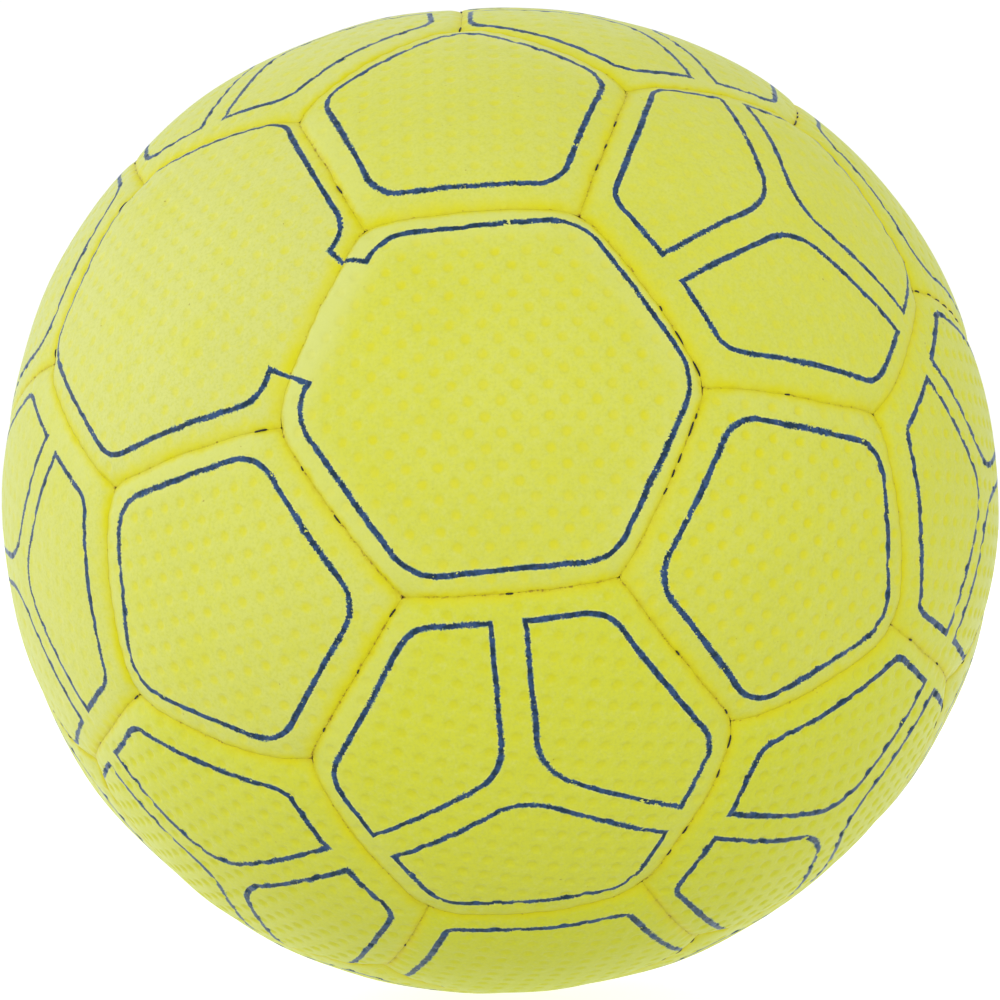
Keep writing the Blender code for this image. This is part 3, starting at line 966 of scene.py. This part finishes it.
# ---------------------------------------------------------------- node helpers
class Material:
    def __init__(self, name):
        self.data = bpy.data.materials.new(name)
        self.data.use_nodes = True
        self.tree = self.data.node_tree
        self.shader = self.tree.nodes["Principled BSDF"]
        self.position = None

    def node(self, kind, inputs=None, **settings):
        node = self.tree.nodes.new(kind)
        for key, value in settings.items():
            setattr(node, key, value)
        for key, value in (inputs or {}).items():
            self.put(node.inputs[key], value)
        return node

    def put(self, socket, value):
        if isinstance(value, bpy.types.NodeSocket):
            self.tree.links.new(value, socket)
        else:
            socket.default_value = value

    def math(self, operation, a, b=0.0, c=None, clamp=False):
        node = self.node("ShaderNodeMath", {0: a, 1: b}, operation=operation, use_clamp=clamp)
        if c is not None:
            self.put(node.inputs[2], c)
        return node.outputs[0]

    def ramp(self, value, low, high, smooth=True, start=0.0, end=1.0):
        node = self.node(
            "ShaderNodeMapRange",
            {"Value": value, "From Min": low, "From Max": high, "To Min": start, "To Max": end},
            interpolation_type="SMOOTHSTEP" if smooth else "LINEAR",
        )
        return node.outputs[0]

    def attribute(self, name):
        return self.node("ShaderNodeAttribute", attribute_name=name).outputs["Fac"]

    def millimetres(self):
        """Object coordinates in millimetres."""
        if self.position is None:
            coords = self.node("ShaderNodeTexCoord").outputs["Object"]
            self.position = self.node(
                "ShaderNodeVectorMath", {0: coords, "Scale": 1000.0}, operation="SCALE"
            ).outputs[0]
        return self.position

    def noise(self, per_mm, detail=2.0, roughness=0.5, distortion=0.0, offset=0.0):
        place = self.millimetres()
        if offset:
            place = self.node(
                "ShaderNodeVectorMath", {0: place, 1: (offset, offset * 1.7, -offset)}, operation="ADD"
            ).outputs[0]
        return self.node(
            "ShaderNodeTexNoise",
            {"Vector": place, "Scale": per_mm, "Detail": detail, "Roughness": roughness, "Distortion": distortion},
        ).outputs["Fac"]

    def mix(self, amount, a, b, blend="MIX"):
        node = self.tree.nodes.new("ShaderNodeMix")
        node.data_type = "RGBA"
        node.blend_type = blend
        node.clamp_factor = True
        self.put(node.inputs[0], amount)
        self.put(node.inputs[6], a)
        self.put(node.inputs[7], b)
        return node.outputs[2]

    def bump(self, height, strength, distance_mm, normal=None):
        node = self.node(
            "ShaderNodeBump", {"Height": height, "Strength": strength, "Distance": distance_mm * MM}
        )
        if normal is not None:
            self.put(node.inputs["Normal"], normal)
        return node.outputs[0]

    def set(self, **values):
        for key, value in values.items():
            self.put(self.shader.inputs[key.replace("_", " ")], value)


def rgb(r, g, b):
    """Linear colour of a screen colour given in 0-255."""
    out = []
    for value in (r, g, b):
        value /= 255.0
        out.append(value / 12.92 if value <= 0.04045 else ((value + 0.055) / 1.055) ** 2.4)
    return (*out, 1.0)


# ---------------------------------------------------------------- cover leather
def cover_material():
    m = Material("cover_grip_leather")
    outline, bands, bridge = (m.attribute(n) for n in ("outline", "bands", "bridge"))
    dimple, seam = m.attribute("dimple"), m.attribute("seam")

    # ink: a line along the outline, ragged where it ran into the grain
    line = m.math("MINIMUM", m.math("MAXIMUM", outline, bands), bridge)
    ragged = m.math("SUBTRACT", m.noise(1.5, 5.0, 0.72), 0.5)
    choice = m.ramp(m.noise(0.11, 1.0, offset=31.0), 0.40, 0.60, start=0.30, end=1.15)
    shifted = m.math("ADD", line, m.math("MULTIPLY", m.math("MULTIPLY", ragged, choice), 0.75))
    fine = m.math("SUBTRACT", m.noise(3.4, 2.0, 0.6, offset=61.0), 0.5)
    shifted = m.math("ADD", shifted, m.math("MULTIPLY", m.math("MULTIPLY", fine, choice), 0.85))
    waver = m.math("MULTIPLY", m.math("SUBTRACT", m.noise(0.16, 2.0, offset=11.0), 0.5), 0.55)
    shifted = m.math("ADD", shifted, waver)
    away = m.math("ABSOLUTE", shifted)
    width = m.ramp(m.noise(0.09, 2.0, offset=57.0), 0.30, 0.70, start=0.44, end=0.56)
    steep = m.ramp(seam, 0.6, 2.6, start=0.75, end=1.0)
    width = m.math("MULTIPLY", m.math("MULTIPLY", width, steep), m.attribute("ink"))
    gap = m.ramp(m.noise(0.42, 3.0, 0.6, offset=83.0), 0.685, 0.72, start=1.0, end=0.0)
    width = m.math("MULTIPLY", width, gap)
    inked = m.ramp(m.math("SUBTRACT", width, away), -0.055, 0.075)
    speck = m.ramp(m.noise(1.9, 2.0, 0.5, offset=19.0), 0.70, 0.735, start=1.0, end=0.15)
    inked = m.math("MULTIPLY", inked, speck)
    fringe = m.ramp(m.math("SUBTRACT", m.math("ADD", width, 0.15), away), -0.06, 0.10)
    fringe = m.math("MULTIPLY", fringe, m.ramp(m.noise(0.7, 3.0, 0.6, offset=43.0), 0.44, 0.58, start=0.0, end=0.70))

    # leather colour
    tone = m.noise(0.035, 3.0, 0.55, offset=7.0)
    flat = m.mix(m.ramp(tone, 0.35, 0.65), FLAT_A, FLAT_B)
    # each panel pushed paler or deeper: painted sheen on the listed panels, random dye on the rest
    dye_and_sheen = m.attribute("dye_and_sheen")
    flat = m.mix(m.ramp(dye_and_sheen, 0.0, 1.0, smooth=False), flat, PALER_DYE_AND_SHEEN)
    flat = m.mix(m.ramp(dye_and_sheen, 0.0, -1.0, smooth=False), flat, RICHER_DYE_NO_SHEEN)
    # the grain takes the dye unevenly, yellower in some spots than in others
    mottle = m.noise(0.80, 4.0, 0.62, offset=37.0)
    flat = m.mix(m.ramp(mottle, 0.50, 0.72, smooth=False, start=0.0, end=0.60), flat, DYED)
    flat = m.mix(m.ramp(mottle, 0.50, 0.28, smooth=False, start=0.0, end=0.55), flat, PALE)
    cloud = m.noise(0.11, 3.0, 0.5, offset=29.0)
    flat = m.mix(m.ramp(cloud, 0.50, 0.72, start=0.0, end=0.40), flat, DYED)
    flat = m.mix(m.ramp(m.noise(1.9, 3.0, 0.6, offset=103.0), 0.42, 0.72, start=0.0, end=0.38), flat, DULL)
    # painted bounce light and missing sheen: the dimples tinted a deeper, more saturated yellow; painted shade makes
    # this tint darker on the deeper panels low on the ball
    patchy = m.ramp(m.noise(0.55, 3.0, 0.6, offset=3.0), 0.38, 0.62, start=0.72, end=1.0)
    dimple_bounce = m.math("MULTIPLY", m.ramp(dimple, 0.05, 1.0, smooth=False), patchy)
    dimple_bounce_colour = m.mix(m.ramp(dye_and_sheen, -0.05, -0.60, smooth=False), DIMPLE_BOUNCE, DIMPLE_BOUNCE_SHADED)
    flat = m.mix(m.math("MULTIPLY", dimple_bounce, DIMPLE_BOUNCE_TINT), flat, dimple_bounce_colour)
    # painted sheen: beside a seam the upper panel is made paler, the light's sheen on its shoulder
    lean = m.attribute("lean")
    shoulder_sheen = m.math("MULTIPLY", m.ramp(seam, 2.2, 9.0, start=1.0, end=0.0), m.ramp(lean, 0.0, 1.0, smooth=False, start=0.0, end=0.72))
    flat = m.mix(shoulder_sheen, flat, SHOULDER_SHEEN)
    # painted shade and bounce light: a band of deeper yellow beside the seam, wider on the lower panel
    ragged_side = m.math("SUBTRACT", m.noise(0.42, 4.0, 0.62, offset=77.0), 0.5)
    beside = m.math("ADD", seam, m.math("MULTIPLY", ragged_side, 2.0))
    reach = m.math("SUBTRACT", 2.45, m.math("MULTIPLY", lean, 1.58))
    side = m.math("POWER", m.ramp(m.math("DIVIDE", beside, reach), 0.0, 1.0, start=1.0, end=0.0), 1.2)
    side = m.math("MULTIPLY", side, m.ramp(m.noise(0.14, 2.0, offset=71.0), 0.30, 0.70, start=0.70, end=1.12))
    flat = m.mix(m.math("MULTIPLY", side, SEAM_SHADE_TINT, clamp=True), flat, SEAM_BAND_SHADE)
    # the bottom of the seam darkened to a soft ochre, and brown specks of dirt in it
    stain = m.attribute("stain")
    reach = m.ramp(m.noise(0.5, 4.0, 0.65, offset=47.0), 0.32, 0.68, smooth=False, start=0.30, end=1.45)
    shade = m.ramp(m.math("DIVIDE", seam, reach), 0.0, 1.0, start=1.0, end=0.0)
    shade = m.math("MULTIPLY", shade, m.math("ADD", m.math("MULTIPLY", stain, 0.75), 0.22))
    shade = m.math("MULTIPLY", shade, m.ramp(m.noise(0.75, 4.0, 0.65, offset=91.0), 0.36, 0.66, smooth=False, start=0.25, end=1.40))
    flat = m.mix(m.math("MULTIPLY", shade, 1.0, clamp=True), flat, OCHRE)
    level = m.math("SUBTRACT", m.noise(1.15, 3.0, 0.62, offset=67.0), m.math("SUBTRACT", 0.640, m.math("MULTIPLY", stain, 0.20)))
    narrow = m.ramp(m.noise(0.8, 2.0, 0.5, offset=53.0), 0.35, 0.65, smooth=False, start=0.16, end=0.42)
    speckle = m.math("MULTIPLY", m.ramp(level, -0.02, 0.08), m.ramp(m.math("DIVIDE", seam, narrow), 0.30, 1.0, start=1.0, end=0.0))
    flat = m.mix(m.math("MULTIPLY", speckle, 0.78), flat, GRIME)
    dot = m.ramp(m.noise(0.9, 1.0, offset=23.0), 0.80, 0.84)
    flat = m.mix(m.math("MULTIPLY", dot, 0.55), flat, GRIME)
    hidden = m.ramp(seam, -0.9, -0.2, start=1.0, end=0.0)
    flat = m.mix(hidden, flat, BACKING)

    ink = m.mix(m.ramp(m.noise(0.8, 2.0, offset=5.0), 0.35, 0.65), INK_A, INK_B)
    # a thin pale rim where the ink drew back as it dried
    rim = m.ramp(m.math("SUBTRACT", m.math("ADD", width, 0.26), away), 0.0, 0.16)
    colour = m.mix(m.math("MULTIPLY", rim, 0.40), flat, RIM)
    colour = m.mix(fringe, colour, FRINGE)
    colour = m.mix(inked, colour, ink)

    grain = m.noise(3.2, 3.0, 0.55)
    pebble = m.node(
        "ShaderNodeTexVoronoi",
        {"Vector": m.millimetres(), "Scale": 1.9, "Randomness": 1.0},
        feature="SMOOTH_F1",
    )
    height = m.math("ADD", m.math("MULTIPLY", pebble.outputs["Distance"], 0.7), m.math("MULTIPLY", grain, 0.5))
    normal = m.bump(height, 0.37, 0.05)
    normal = m.bump(inked, 0.12, 0.02, normal)
    rough = m.ramp(m.noise(0.25, 3.0, offset=13.0), 0.3, 0.7, start=0.47, end=0.57)
    rough = m.math("SUBTRACT", rough, m.math("MULTIPLY", inked, 0.08))
    m.set(
        Base_Color=colour, Roughness=rough, Normal=normal, Specular_IOR_Level=0.24,
        Sheen_Weight=0.14, Sheen_Roughness=0.32, Sheen_Tint=(0.20, 0.50, 0.75, 1.0), Coat_Weight=0.0,
    )
    return m.data


FLAT_A = rgb(195, 199, 70)
FLAT_B = rgb(198, 202, 77)
# the two panel tones: painted sheen, and the deeper yellow where it is missing
PALER_DYE_AND_SHEEN = rgb(198, 202, 122)
RICHER_DYE_NO_SHEEN = rgb(195, 200, 39)
DULL = rgb(178, 184, 72)
DYED = rgb(199, 201, 46)
PALE = rgb(198, 203, 102)
# the dimples' tint: painted bounce light, darker for painted shade on the low panels
DIMPLE_BOUNCE = rgb(206, 202, 6)
DIMPLE_BOUNCE_SHADED = rgb(199, 198, 8)
# the band beside a seam: painted shade and bounce light
SEAM_BAND_SHADE = rgb(202, 199, 4)
GRIME = rgb(138, 106, 26)
OCHRE = rgb(186, 172, 10)
BACKING = rgb(196, 186, 60)
INK_A = rgb(8, 41, 63)
INK_B = rgb(42, 72, 112)
FRINGE = rgb(36, 112, 120)
RIM = rgb(214, 220, 128)
# painted sheen on the upper panel's shoulder at a seam
SHOULDER_SHEEN = rgb(201, 207, 122)
# strengths of the painted dimple and seam tints
DIMPLE_BOUNCE_TINT = 0.95
SEAM_SHADE_TINT = 1.0


def thread_material():
    m = Material("seam_thread_waxed")
    strands = m.node(
        "ShaderNodeTexWave",
        {"Vector": m.millimetres(), "Scale": 1.4, "Distortion": 2.5, "Detail": 2.0},
        wave_type="BANDS",
    ).outputs["Fac"]
    colour = m.mix(m.ramp(strands, 0.2, 0.9), rgb(13, 11, 9), rgb(34, 29, 24))
    m.set(
        Base_Color=colour, Roughness=m.ramp(strands, 0.0, 1.0, start=0.5, end=0.75),
        Normal=m.bump(strands, 0.6, 0.06), Specular_IOR_Level=0.35,
        Sheen_Weight=0.15, Sheen_Roughness=0.5,
    )
    return m.data


def rubber_material(name, dark, light, rough=0.6, mould=0.9):
    """Moulded rubber with talc in its pores."""
    m = Material(name)
    cloud = m.noise(0.35, 4.0, 0.6)
    dust = m.ramp(m.noise(2.2, 3.0, 0.6, offset=17.0), 0.5, 0.72)
    colour = m.mix(m.ramp(cloud, 0.35, 0.65), dark, light)
    colour = m.mix(m.math("MULTIPLY", dust, 0.25), colour, rgb(150, 146, 138))
    pores = m.noise(mould * 4.0, 3.0, 0.6, offset=9.0)
    m.set(
        Base_Color=colour, Roughness=m.ramp(cloud, 0.3, 0.7, start=rough - 0.08, end=rough + 0.08),
        Normal=m.bump(pores, 0.25, 0.05), Specular_IOR_Level=0.4,
    )
    return m.data


def cloth_material():
    m = Material("lining_cotton")
    place = m.millimetres()
    warp = m.node("ShaderNodeTexWave", {"Vector": place, "Scale": 0.62, "Distortion": 0.6}, bands_direction="X").outputs["Fac"]
    weft = m.node("ShaderNodeTexWave", {"Vector": place, "Scale": 0.62, "Distortion": 0.6}, bands_direction="Z").outputs["Fac"]
    weave = m.math("MULTIPLY", warp, weft)
    colour = m.mix(weave, rgb(196, 190, 172), rgb(226, 222, 208))
    m.set(
        Base_Color=colour, Roughness=m.ramp(weave, 0.0, 1.0, start=0.95, end=0.85),
        Normal=m.bump(weave, 0.6, 0.12), Sheen_Weight=0.3, Sheen_Roughness=0.5,
        Specular_IOR_Level=0.2,
    )
    return m.data


COVER = cover_material()
THREAD = thread_material()
LATEX = rubber_material("bladder_latex", rgb(46, 42, 40), rgb(64, 59, 56), 0.55)
BOOT = rubber_material("valve_rubber", rgb(30, 30, 31), rgb(46, 45, 45), 0.62)
PLUG = rubber_material("valve_plug_rubber", rgb(196, 192, 180), rgb(212, 209, 198), 0.55)
CLOTH = cloth_material()


def finish_piece(obj, material, slot, *nodes):
    obj.data.materials.clear()
    obj.data.materials.append(material)
    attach(obj, "root")
    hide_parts(*nodes)
    return obj


# ---------------------------------------------------------------- the cover
def node_directions():
    found = {}
    for name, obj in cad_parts.items():
        if "_panel" in name:
            co = np.empty(len(obj.data.vertices) * 3, np.float32)
            obj.data.vertices.foreach_get("co", co)
            found[name] = unit(co.reshape(-1, 3).mean(0))
    return found


panel_nodes = node_directions()
taken = set()
for number, panel in enumerate(PANELS):
    node = max(panel_nodes, key=lambda n: float(panel_nodes[n] @ panel.centre))
    if node in taken:
        raise RuntimeError(f"{node} matches two panels")
    taken.add(node)
    piece = make_cover_panel(number, panel, node.replace("_panel", "_cover"))
    finish_piece(piece, COVER, "cover", node)

thread = make_thread("stitching")
finish_piece(thread, THREAD, "thread", "seam_thread")

# ---------------------------------------------------------------- valve and inside
valve_axis = PANELS[31].centre
valve_frame = Vector(valve_axis).to_track_quat("Z", "Y").to_matrix().to_4x4()


def rounded(profile, radius, steps=3):
    """A profile with its corners rounded; each point may give its own radius."""
    points = [np.array(p[:2], float) for p in profile]
    sizes = [p[2] if len(p) > 2 else radius for p in profile]
    out = []
    for k, here in enumerate(points):
        before, after = points[k - 1], points[(k + 1) % len(points)]
        size = sizes[k]
        a, b = before - here, after - here
        la, lb = np.linalg.norm(a), np.linalg.norm(b)
        size = min(size, la * 0.45, lb * 0.45)
        if size < 0.01:
            out.append(here)
            continue
        p0, p2 = here + a / la * size, here + b / lb * size
        for s in range(steps + 1):
            t = s / steps
            out.append((1 - t) ** 2 * p0 + 2 * t * (1 - t) * here + t * t * p2)
    return out


def turned(name, profile, sides=96):
    """Turns a closed profile of (offset, height) in mm round the valve's axis."""
    bm = bmesh.new()
    rings = []
    for x, z in profile:
        if x < 1e-4:
            rings.append([bm.verts.new((0, 0, z * MM))])
        else:
            rings.append(
                [
                    bm.verts.new(
                        (
                            x * MM * math.cos(2 * math.pi * s / sides),
                            x * MM * math.sin(2 * math.pi * s / sides),
                            z * MM,
                        )
                    )
                    for s in range(sides)
                ]
            )
    for k, here in enumerate(rings):
        after = rings[(k + 1) % len(rings)]
        if len(here) == 1 and len(after) == 1:
            continue
        for s in range(sides):
            s2 = (s + 1) % sides
            if len(here) == 1:
                bm.faces.new((here[0], after[s], after[s2]))
            elif len(after) == 1:
                bm.faces.new((here[s], after[0], here[s2]))
            else:
                bm.faces.new((here[s], after[s], after[s2], here[s2]))
    bmesh.ops.recalc_face_normals(bm, faces=bm.faces)
    mesh = bpy.data.meshes.new(name)
    bm.to_mesh(mesh)
    bm.free()
    mesh.transform(valve_frame)
    mesh.shade_smooth()
    mesh.set_sharp_from_angle(angle=math.radians(40))
    obj = bpy.data.objects.new(name, mesh)
    bpy.context.scene.collection.objects.link(obj)
    return obj


def arc(radius, start, end, steps):
    offsets = [start + (end - start) * k / steps for k in range(steps + 1)]
    return [(o, math.sqrt(radius**2 - o**2), 0.0) for o in offsets]


face = 93.3
boot = turned(
    "valve_stem",
    rounded(
        [
            (3.40, face, 0.18), (3.75, face, 0.06), (3.78, face - 0.10, 0.05), (3.95, face - 0.10, 0.05),
            (3.98, face, 0.06), (4.38, face, 0.30), (4.38, 89.3, 0.3),
            *arc(88.9, 5.2, 13.6, 8), (14.0, 87.85, 0.12), (14.0, 87.05, 0.12),
            *reversed(arc(88.05, 5.2, 13.6, 8)), (4.4, 87.6, 0.5),
            (4.0, 79.8, 0.4), (3.2, 79.0, 0.3), (2.40, 79.0, 0.1),
            (2.40, 91.8, 0.05), (3.40, 91.8, 0.1),
        ],
        0.1,
    ),
)
finish_piece(boot, BOOT, "valve_rubber", "valve_boot")

plug = turned(
    "valve_insert",
    rounded(
        [
            (0.0, face - 9.0, 0.0), (0.72, face - 8.3, 0.1), (0.80, face - 0.55, 0.1), (1.25, face - 0.05, 0.15),
            (1.55, face - 0.02, 0.05), (1.65, face - 0.16, 0.06), (1.95, face - 0.16, 0.06), (2.05, face - 0.02, 0.05),
            (3.08, face - 0.04, 0.22), (3.08, face - 1.18, 0.12), (2.08, face - 1.2, 0.1),
            (2.08, 78.75, 0.1), (3.05, 78.7, 0.15), (3.05, 77.85, 0.25), (2.05, 75.7, 0.3), (0.0, 75.6, 0.0),
        ],
        0.08,
    ),
)
finish_piece(plug, PLUG, "valve_plug_rubber", "valve_plug")

patch = turned(
    "valve_lining",
    rounded([*arc(89.88, 4.9, 21.9, 14), *reversed(arc(89.22, 4.9, 21.9, 14))], 0.0),
)
finish_piece(patch, CLOTH, "lining_cloth", "valve_patch")

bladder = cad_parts["bladder"]
bladder.data.materials.clear()
bladder.data.materials.append(LATEX)

# ---------------------------------------------------------------- camera
camera_data = bpy.data.cameras.new("camera")
camera = bpy.data.objects.new("camera", camera_data)
bpy.context.scene.collection.objects.link(camera)
CAMERA_TURN = math.radians(0.214)
camera.location = (0.940 * math.sin(CAMERA_TURN), -0.940 * math.cos(CAMERA_TURN), 0.0)
camera.rotation_euler = (math.radians(90.0), 0.0, CAMERA_TURN)
camera_data.sensor_width = 36.0
camera_data.sensor_fit = "HORIZONTAL"
camera_data.lens = 36.0 * 4950.0 / 1000.0
camera_data.shift_x = -0.0005
camera_data.shift_y = -0.00161
camera_data.clip_start = 0.05
camera_data.clip_end = 60.0
camera_data.dof.use_dof = False
bpy.context.scene.camera = camera

# ---------------------------------------------------------------- studio
scene = bpy.context.scene
scene.view_settings.view_transform = "Standard"
scene.view_settings.look = "None"
scene.view_settings.exposure = 0.0
scene.view_settings.gamma = 1.0

world = bpy.data.worlds.new("studio")
world.use_nodes = True
tree = world.node_tree
coords = tree.nodes.new("ShaderNodeTexCoord")
split = tree.nodes.new("ShaderNodeSeparateXYZ")
tree.links.new(coords.outputs["Generated"], split.inputs[0])
# the backdrop end of the room is brighter than the rest of it
spread = tree.nodes.new("ShaderNodeMapRange")
spread.interpolation_type = "SMOOTHSTEP"
tree.links.new(split.outputs["Y"], spread.inputs["Value"])
spread.inputs["From Min"].default_value = 0.45
spread.inputs["From Max"].default_value = 0.90
spread.inputs["To Min"].default_value = 0.845
spread.inputs["To Max"].default_value = 1.03
tree.links.new(spread.outputs[0], tree.nodes["Background"].inputs["Strength"])
tree.nodes["Background"].inputs["Color"].default_value = (1.0, 1.0, 1.0, 1.0)
scene.world = world


def make_floor():
    bm = bmesh.new()
    bmesh.ops.create_circle(bm, cap_ends=True, segments=96, radius=14.0)
    mesh = bpy.data.meshes.new("floor")
    bm.to_mesh(mesh)
    bm.free()
    obj = bpy.data.objects.new("floor", mesh)
    scene.collection.objects.link(obj)
    obj.location = (0.0, 0.0, -0.0945)
    m = Material("floor_paper")
    fibre = m.noise(0.02, 3.0)
    colour = m.mix(m.ramp(fibre, 0.3, 0.7), (0.49, 0.49, 0.49, 1.0), (0.51, 0.51, 0.505, 1.0))
    # lit from below like the backdrop, more so behind the ball
    split = m.node("ShaderNodeSeparateXYZ", {0: m.millimetres()})
    glow = m.ramp(split.outputs["Y"], -60.0, 0.0, start=0.45, end=0.84)
    m.set(
        Base_Color=colour, Roughness=m.ramp(fibre, 0.3, 0.7, start=0.85, end=0.95),
        Specular_IOR_Level=0.1, Emission_Color=(1.0, 1.0, 1.0, 1.0), Emission_Strength=glow,
    )
    mesh.materials.append(m.data)
    return obj


make_floor()


def softbox(name, place, aim, size, power, colour=(1.0, 1.0, 1.0)):
    light = bpy.data.lights.new(name, "AREA")
    light.shape = "RECTANGLE"
    light.size, light.size_y = size
    light.energy = power
    light.color = colour
    obj = bpy.data.objects.new(name, light)
    scene.collection.objects.link(obj)
    obj.location = place
    way = Vector(aim) - Vector(place)
    obj.rotation_euler = way.to_track_quat("-Z", "Y").to_euler()
    return obj


def softbox_at(name, bearing, rise, power):
    """A softbox 2 m from the ball, its bearing counted from the camera to the right."""
    bearing, rise = math.radians(bearing), math.radians(rise)
    way = (math.sin(bearing) * math.cos(rise), -math.cos(bearing) * math.cos(rise), math.sin(rise))
    return softbox(name, tuple(2.0 * c for c in way), (0, 0, 0), (1.0, 1.0), power)


softbox_at("front", 0.0, 20.0, 11.2)
softbox_at("left", -90.0, 20.0, 7.9)
softbox_at("left_back", -120.0, 20.0, 2.8)
softbox_at("right", 90.0, 50.0, 2.1)
softbox_at("back", 180.0, 50.0, 1.3)
